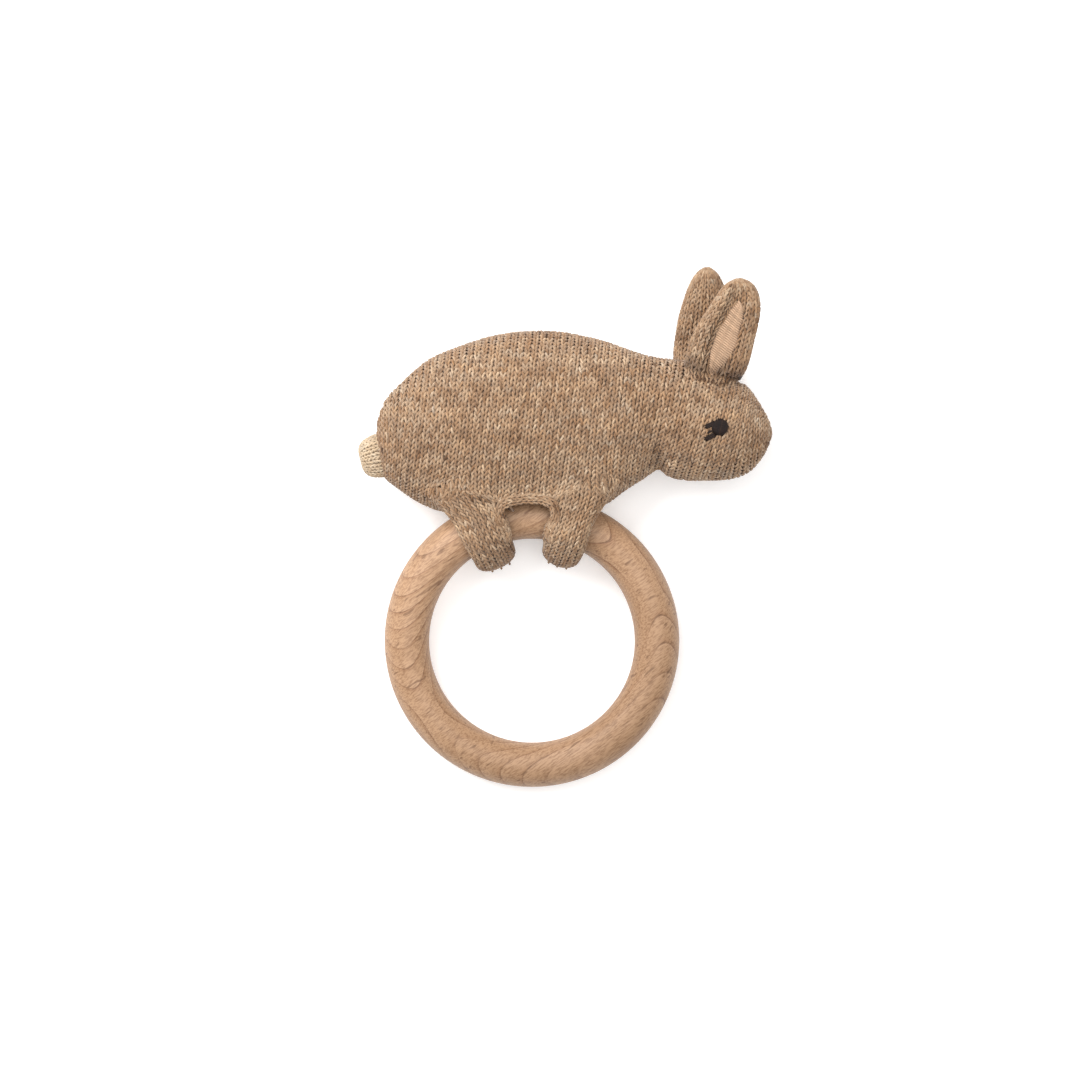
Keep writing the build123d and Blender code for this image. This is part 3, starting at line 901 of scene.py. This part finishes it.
def onHead(flat, lift):
    # height of the flank over a plan point, with its outward direction
    p = np.concatenate([flat, flankHeight(flat[..., 0], flat[..., 1], 0.99)[..., None]], -1)
    n = unit(slope(p, trunkField)[1])
    return p + n * np.broadcast_to(lift, p.shape[:-1])[..., None], n


def eyeThreads():
    # chords of an ellipse, then each lash as a few threads side by side
    rows = []
    w = np.linspace(-1, 1, 9)
    lean = math.radians(90 - eye["tilt"])
    along = np.array([math.cos(lean), math.sin(lean)])
    across = np.array([along[1], -along[0]])
    for i in np.linspace(-0.93, 0.93, eye["threads"]):
        chord = math.sqrt(1 - i * i)
        rows.append(np.array(eye["middle"]) + across * eye["half"][0] * i
                    + along * (eye["half"][1] * chord * w)[:, None])
    for start, end, count in eye["lashes"]:
        start, end = np.array(start), np.array(end)
        run = end - start
        square = np.array([-run[1], run[0]]) / np.linalg.norm(run)
        for k in range(count):
            shift = square * (k - (count - 1) / 2) * 0.32
            taper = 1 - 0.12 * abs(k - (count - 1) / 2)
            rows.append(start + shift + run * taper * ((w + 1) / 2)[:, None])
    return np.array(rows), w


flat, w = eyeThreads()
path, normal = onHead(flat, 0.80 - 0.55 * np.abs(w) ** 8)
rng = np.random.default_rng(3)
shade = linear(eye["tone"])[None, None] * (1 + 0.25 * rng.normal(size=(len(flat), 1, 1)))
shade = np.broadcast_to(np.clip(shade, 0.004, 1), path.shape)
eyes = {}
for side, sign in (("near", 1), ("far", -1)):
    flip = np.array([1, 1, sign])
    eyes[side] = tubes(f"{side}EyeThreads", path * flip, normal * flip, 0.24, 0.2, shade)
print("tail and eyes made")

# finishes


def setInputs(node, values):
    for key, value in values.items():
        node.inputs[key].default_value = value


def finishTree(name, roughness, sheen=0.0, specular=0.5):
    material = bpy.data.materials.new(name)
    material.use_nodes = True
    tree = material.node_tree
    shader = tree.nodes["Principled BSDF"]
    setInputs(shader, {"Roughness": roughness, "Specular IOR Level": specular,
                       "Sheen Weight": sheen, "Sheen Roughness": 0.5})
    return material, tree, shader


def join(tree, value, socket):
    # a node's output is linked, a plain value is set on the socket itself
    if hasattr(value, "links"):
        tree.links.new(value, socket)
    else:
        socket.default_value = value


def noiseTexture(tree, place, scale, detail, roughness):
    made = tree.nodes.new("ShaderNodeTexNoise")
    setInputs(made, {"Scale": scale, "Detail": detail, "Roughness": roughness})
    tree.links.new(place, made.inputs["Vector"])
    return made


def objectPlace(tree, scale=(1, 1, 1), turn=(0, 0, 0)):
    # the piece's own place, turned first and stretched after that
    coords = tree.nodes.new("ShaderNodeTexCoord")
    mapping = tree.nodes.new("ShaderNodeMapping")
    mapping.inputs["Rotation"].default_value = turn
    tree.links.new(coords.outputs["Object"], mapping.inputs["Vector"])
    stretch = tree.nodes.new("ShaderNodeVectorMath")
    stretch.operation = "MULTIPLY"
    stretch.inputs[1].default_value = scale
    tree.links.new(mapping.outputs["Vector"], stretch.inputs[0])
    return stretch.outputs["Vector"]


def ramp(tree, source, stops):
    made = tree.nodes.new("ShaderNodeValToRGB")
    line = made.color_ramp
    while len(line.elements) < len(stops):
        line.elements.new(0.5)
    for element, (place, colour) in zip(line.elements, stops):
        element.position = place
        element.color = (*linear(colour), 1)
    tree.links.new(source, made.inputs["Fac"])
    return made.outputs["Color"]


def mixColour(tree, a, b, share, kind="MIX"):
    made = tree.nodes.new("ShaderNodeMix")
    made.data_type = "RGBA"
    made.blend_type = kind
    for socket, value in ((made.inputs[0], share), (made.inputs[6], a), (made.inputs[7], b)):
        join(tree, value, socket)
    return made.outputs[2]


def bump(tree, shader, height, strength, distance):
    made = tree.nodes.new("ShaderNodeBump")
    setInputs(made, {"Strength": strength, "Distance": distance})
    tree.links.new(height, made.inputs["Height"])
    tree.links.new(made.outputs["Normal"], shader.inputs["Normal"])


def yarnFinish(name, roughness=0.85, sheen=0.18, fibre=4200, depth=0.5):
    # the yarn's own colour, broken up by fine fibres
    material, tree, shader = finishTree(name, roughness, sheen, 0.25)
    own = tree.nodes.new("ShaderNodeAttribute")
    own.attribute_name = "melange"
    noise = noiseTexture(tree, objectPlace(tree), fibre, 2.0, 0.6)
    shade = ramp(tree, noise.outputs["Fac"], [(0.30, (150, 142, 136)), (0.50, (226, 223, 220)),
                                              (0.70, (255, 255, 255))])
    colour = mixColour(tree, own.outputs["Color"], shade, depth, "MULTIPLY")
    tree.links.new(colour, shader.inputs["Base Color"])
    bump(tree, shader, noise.outputs["Fac"], 0.5, 0.00008)
    return material


def plainFinish(name, dark, light, roughness, scale, sheen=0.0, relief=0.2, size=0.0001):
    # two close tones mixed by noise, with a little relief
    material, tree, shader = finishTree(name, roughness, sheen)
    noise = noiseTexture(tree, objectPlace(tree), scale, 4.0, 0.6)
    tree.links.new(ramp(tree, noise.outputs["Fac"], [(0.35, dark), (0.65, light)]),
                   shader.inputs["Base Color"])
    bump(tree, shader, noise.outputs["Fac"], relief, size)
    return material


beech = {
    "grainTurn": 36.0,  # degrees from x, in the ring's plane
    "pith": (0.0, 0.016),  # across the grain from the ring's middle, and below the floor, in m
    "linesPerMetre": 470.0,
    "pale": (191, 154, 122), "warm": (178, 141, 108), "deep": (158, 118, 86),
    "line": (108, 72, 49), "fleck": (98, 66, 46),
    "sideDarkening": (228, 226, 222), "sideDarkeningRate": 16.0,  # tone of the darker side, change per metre
}


def beechFinish():
    # Growth lines: the distance from a line along the grain, below the ring's middle, repeats
    # every few millimetres. Fine fibres and short dark flecks run along the grain.
    material, tree, shader = finishTree("oiledBeech", 0.5, 0.0, 0.4)
    slant = math.radians(beech["grainTurn"])
    turn = (0, 0, -slant)
    split = tree.nodes.new("ShaderNodeSeparateXYZ")
    tree.links.new(objectPlace(tree, turn=turn), split.inputs[0])

    def grainNoise(stretch, scale, detail, roughness):
        place = objectPlace(tree, scale=(stretch, 1, 1), turn=turn)
        return noiseTexture(tree, place, scale, detail, roughness)

    warp = grainNoise(0.5, 34.0, 1.5, 0.45)

    def maths(kind, a, b=None):
        made = tree.nodes.new("ShaderNodeMath")
        made.operation = kind
        for socket, value in zip(made.inputs, (a, b)):
            if value is not None:
                join(tree, value, socket)
        return made.outputs[0]

    middle = (ringLow + ringHigh) / 2
    shift = middle.x * math.sin(slant) - middle.y * math.cos(slant) + beech["pith"][0]
    across = maths("ADD", split.outputs["Y"], shift)
    depth = maths("ADD", split.outputs["Z"], beech["pith"][1])
    reach = maths("SQRT", maths("ADD", maths("MULTIPLY", across, across),
                                maths("MULTIPLY", depth, depth)))
    reach = maths("ADD", reach, maths("MULTIPLY", warp.outputs["Fac"], 0.0062))
    rings = maths("FRACT", maths("MULTIPLY", reach, beech["linesPerMetre"]))
    tone = ramp(tree, rings, [(0.0, beech["pale"]), (0.70, beech["warm"]), (0.87, beech["deep"]),
                              (0.93, beech["line"]), (0.97, beech["pale"])])
    broad = grainNoise(1, 70.0, 3.0, 0.55)
    base = ramp(tree, broad.outputs["Fac"], [(0.34, beech["warm"]), (0.64, beech["pale"])])
    strength = ramp(tree, broad.outputs["Color"],
                    [(0.38, (110, 110, 110)), (0.60, (235, 235, 235))])
    colour = mixColour(tree, base, tone, strength)
    fibre = grainNoise(0.16, 3000.0, 2.0, 0.7)
    fibreTone = ramp(tree, fibre.outputs["Fac"], [(0.36, (172, 156, 142)), (0.58, (255, 255, 255))])
    colour = mixColour(tree, colour, fibreTone, 0.6, "MULTIPLY")
    spots = grainNoise(0.2, 1000.0, 1.0, 0.4)
    flecks = ramp(tree, spots.outputs["Fac"], [(0.665, (0, 0, 0)), (0.72, (190, 190, 190))])
    fleckColour = (*linear(beech["fleck"]), 1)
    colour = mixColour(tree, colour, fleckColour, flecks)
    # the wood is made darker across the grain towards one side
    side = maths("ADD", maths("MULTIPLY", across, beech["sideDarkeningRate"]), 0.5)
    sideDarkening = ramp(tree, side, [(0.0, beech["sideDarkening"]), (1.0, (255, 255, 255))])
    colour = mixColour(tree, colour, sideDarkening, 1.0, "MULTIPLY")
    tree.links.new(colour, shader.inputs["Base Color"])
    bump(tree, shader, fibre.outputs["Fac"], 0.25, 0.0001)
    return material


finishes = {
    "melange_knit": yarnFinish("melangeYarn"),
    "cream_knit": yarnFinish("creamYarn", depth=0.25),
    "eye_thread": yarnFinish("darkBrownSatin", 0.62, 0.0, 6000, 0.3),
    "ear_thread": yarnFinish("palePinkSatin", 0.5, 0.15, 6000, 0.3),
    "seam_thread": plainFinish("brownThread", (120, 92, 68), (156, 126, 98), 0.8, 3000, 0.2),
    "filling": plainFinish("whiteFilling", (226, 220, 208), (244, 240, 232), 0.95, 900, 0.3, 0.6,
                           0.0003),
    "beech": beechFinish(),
    "rattle_case": plainFinish("mattWhitePlastic", (226, 224, 218), (236, 234, 229), 0.5, 400),
    "rattle_beads": plainFinish("greyPlastic", (84, 84, 90), (100, 100, 106), 0.4, 700),
}
# painted shade: the lining's brown darkens the gaps between the stitches
liningShadeFinish = plainFinish("liningShade", (84, 62, 45), (112, 86, 65), 0.95, 1800, 0.0, 0.5, 0.0002)
# painted shade, lighter, for the gaps between the tail's stitches
creamLiningShadeFinish = plainFinish("creamLiningShade", (150, 126, 98), (172, 148, 120), 0.95, 1800)


def setFinish(piece, finish):
    piece.data.materials.clear()
    piece.data.materials.append(finish)


slotOf = {s["node"]: s["material_slot"] for s in frame["record"]["subparts"]}
for name, node in frame["nodes"].items():
    finish = finishes[slotOf[name]]
    # knit nodes of the part take the lining's painted shade, not the yarn
    if slotOf[name] == "melange_knit":
        finish = liningShadeFinish
    if node.data.materials:
        for i in range(len(node.data.materials)):
            node.data.materials[i] = finish
    else:
        node.data.materials.append(finish)

# riding, replacing and slots

for node, piece in knitPieces.items():
    setFinish(piece, finishes["melange_knit"])
    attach(piece, "rabbit")
    if node in frame["nodes"]:
        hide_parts(node)
for piece in shadeLinings:
    setFinish(piece, liningShadeFinish)
    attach(piece, "rabbit")
for node, piece in fillings.items():
    setFinish(piece, finishes["filling"])
    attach(piece, "rabbit")
    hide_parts(node)
for side in ("near", "far"):
    for kind, slot in (("knit", "melange_knit"), ("shadeLining", "melange_knit"),
                       ("satin", "ear_thread"), ("sewing", "seam_thread")):
        piece = ears[side][kind]
        own = {"shadeLining": liningShadeFinish, "sewing": finishes["melange_knit"]}
        setFinish(piece, own.get(kind, finishes[slot]))
        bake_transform(piece)
    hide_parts(f"{side}_ear_front", f"{side}_ear_back")
    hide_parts(f"{side}_inner_ear")
    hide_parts(f"{side}_ear_stitches")
    setFinish(eyes[side], finishes["eye_thread"])
    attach(eyes[side], "rabbit")
    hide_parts(f"{side}_eye")
setFinish(tailKnit, finishes["cream_knit"])
setFinish(tailLining, creamLiningShadeFinish)
for piece in (tailKnit, tailLining):
    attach(piece, "rabbit")
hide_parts("tail_cover")

# floor, light and camera

studio = {
    "floor": (0.93, 0.93, 0.93), "glow": 0.28, "sky": 0.55,
    "key": {"at": (-0.45, 0.50, 0.75), "size": 0.7, "power": 10.4},
    "fill": {"at": (0.15, 0.0, 1.15), "size": 0.9, "power": 6.1},
}
view = {"distance": 0.95, "widthShare": 2.602, "aimShare": (-0.0570, -0.0264)}

bpy.ops.mesh.primitive_plane_add(size=6, location=(0, 0, 0))
floor = bpy.context.object
floor.name = "floor"
material, tree, shader = finishTree("whitePaper", 0.9)
setInputs(shader, {"Base Color": (*studio["floor"], 1), "Emission Color": (1, 1, 1, 1),
                   "Emission Strength": studio["glow"]})
setFinish(floor, material)


def areaLight(name, spec):
    data = bpy.data.lights.new(name, "AREA")
    data.size = spec["size"]
    data.energy = spec["power"]
    lamp = addObject(name, data)
    spot = np.array(spec["at"])
    lamp.location = spot
    lamp.rotation_euler = Vector(-spot).to_track_quat("-Z", "Y").to_euler()


areaLight("keyLight", studio["key"])
areaLight("fillLight", studio["fill"])
world = bpy.data.worlds.new("studio")
world.use_nodes = True
setInputs(world.node_tree.nodes["Background"], {"Color": (1, 1, 1, 1), "Strength": studio["sky"]})
bpy.context.scene.world = world
bpy.context.scene.view_settings.view_transform = "Standard"

width = cadHigh.x - cadLow.x
height = cadHigh.y - cadLow.y
cameraData = bpy.data.cameras.new("camera")
camera = addObject("camera", cameraData)
cameraData.sensor_width = 36
cameraData.lens = 36 * view["distance"] / (width * view["widthShare"])
cameraData.clip_end = 20
aim = ((cadLow.x + cadHigh.x) / 2 + width * view["aimShare"][0],
       (cadLow.y + cadHigh.y) / 2 + height * view["aimShare"][1])
camera.location = (aim[0], aim[1], view["distance"] + 0.012)
camera.rotation_euler = (0, 0, 0)
bpy.context.scene.camera = camera
print("studio ready")
